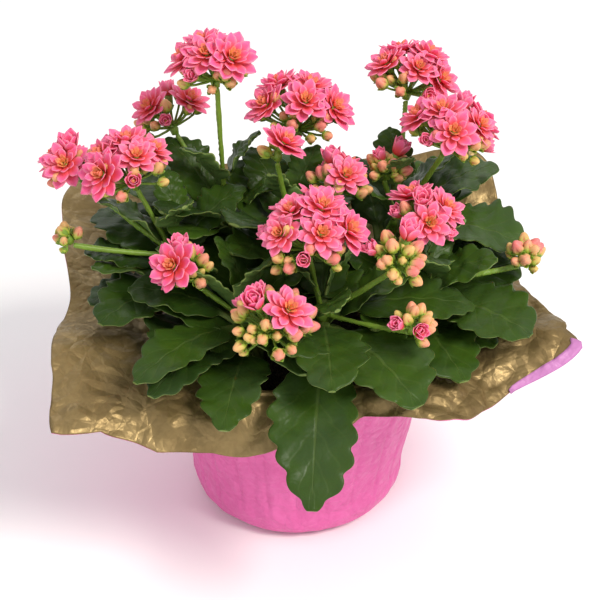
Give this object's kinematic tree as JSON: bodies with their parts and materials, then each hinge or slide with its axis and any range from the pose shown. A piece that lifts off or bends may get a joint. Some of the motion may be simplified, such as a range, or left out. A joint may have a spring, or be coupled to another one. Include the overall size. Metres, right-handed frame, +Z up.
{
  "type": "potted kalanchoe",
  "caption": "Flowering kalanchoe with double pink flowers and scalloped leaves, in a nursery pot inside a flared foil pot cover; stands on its flat base.",
  "frame": {"origin": "centre of the pot cover's flat base, on the surface it stands on", "axes": "+Z up out of the pot, -Y towards the front, +X to the right as seen from the front"},
  "size_m": [0.2191, 0.1962, 0.208],
  "materials": {
    "cover_foil": "satin pink outside, brown-gold metallic inside, crinkled",
    "pot_plastic": "thermoformed, matt terracotta brown",
    "soil": "loose moist peat and bark potting soil",
    "stem": "fleshy, waxy light green",
    "leaf": "fleshy, glossy dark green with a thin pale margin",
    "petal": "soft pink to coral, matt with a slight sheen",
    "bud": "peach tips over yellow-green bases, waxy"
  },
  "bodies": {
    "root": {"pot_cover": "cover_foil", "nursery_pot": "pot_plastic", "soil": "soil", "stem_front_right": "stem", "flower_head_centre": "petal", "flower_head_buds_right": "petal", "flower_head_buds_front_right": "petal", "stem_front_left": "stem", "flower_head_left_middle": "petal", "flower_head_buds_front": "petal", "stem_left": "stem", "flower_head_left_far": "petal", "flower_head_left_main": "petal", "flower_head_buds_left": "petal", "stem_back_left": "stem", "flower_head_top_left": "petal", "flower_head_back_left": "petal", "stem_middle": "stem", "flower_head_middle_top": "petal", "flower_head_single": "petal", "flower_head_middle_right": "petal", "stem_back_right": "stem", "flower_head_right_top": "petal", "flower_head_right_top_low": "petal", "flower_head_buds_middle": "petal", "stem_right": "stem", "flower_head_right": "petal", "flower_head_buds_far_right": "petal", "leaf_front_right_1": "leaf", "leaf_front_right_2": "leaf", "leaf_front_right_3": "leaf", "leaf_front_right_4": "leaf", "leaf_front_right_5": "leaf", "leaf_front_left_1": "leaf", "leaf_front_left_2": "leaf", "leaf_front_left_3": "leaf", "leaf_front_left_4": "leaf", "leaf_left_1": "leaf", "leaf_left_2": "leaf", "leaf_left_3": "leaf", "leaf_left_4": "leaf", "leaf_left_5": "leaf", "leaf_back_left_1": "leaf", "leaf_back_left_2": "leaf", "leaf_back_left_3": "leaf", "leaf_back_left_4": "leaf", "leaf_middle_1": "leaf", "leaf_middle_2": "leaf", "leaf_middle_3": "leaf", "leaf_middle_4": "leaf", "leaf_back_right_1": "leaf", "leaf_back_right_2": "leaf", "leaf_back_right_3": "leaf", "leaf_back_right_4": "leaf", "leaf_back_right_5": "leaf", "leaf_right_1": "leaf", "leaf_right_2": "leaf", "leaf_right_3": "leaf", "leaf_right_4": "leaf", "leaf_right_5": "leaf"}
  },
  "joints": []
}
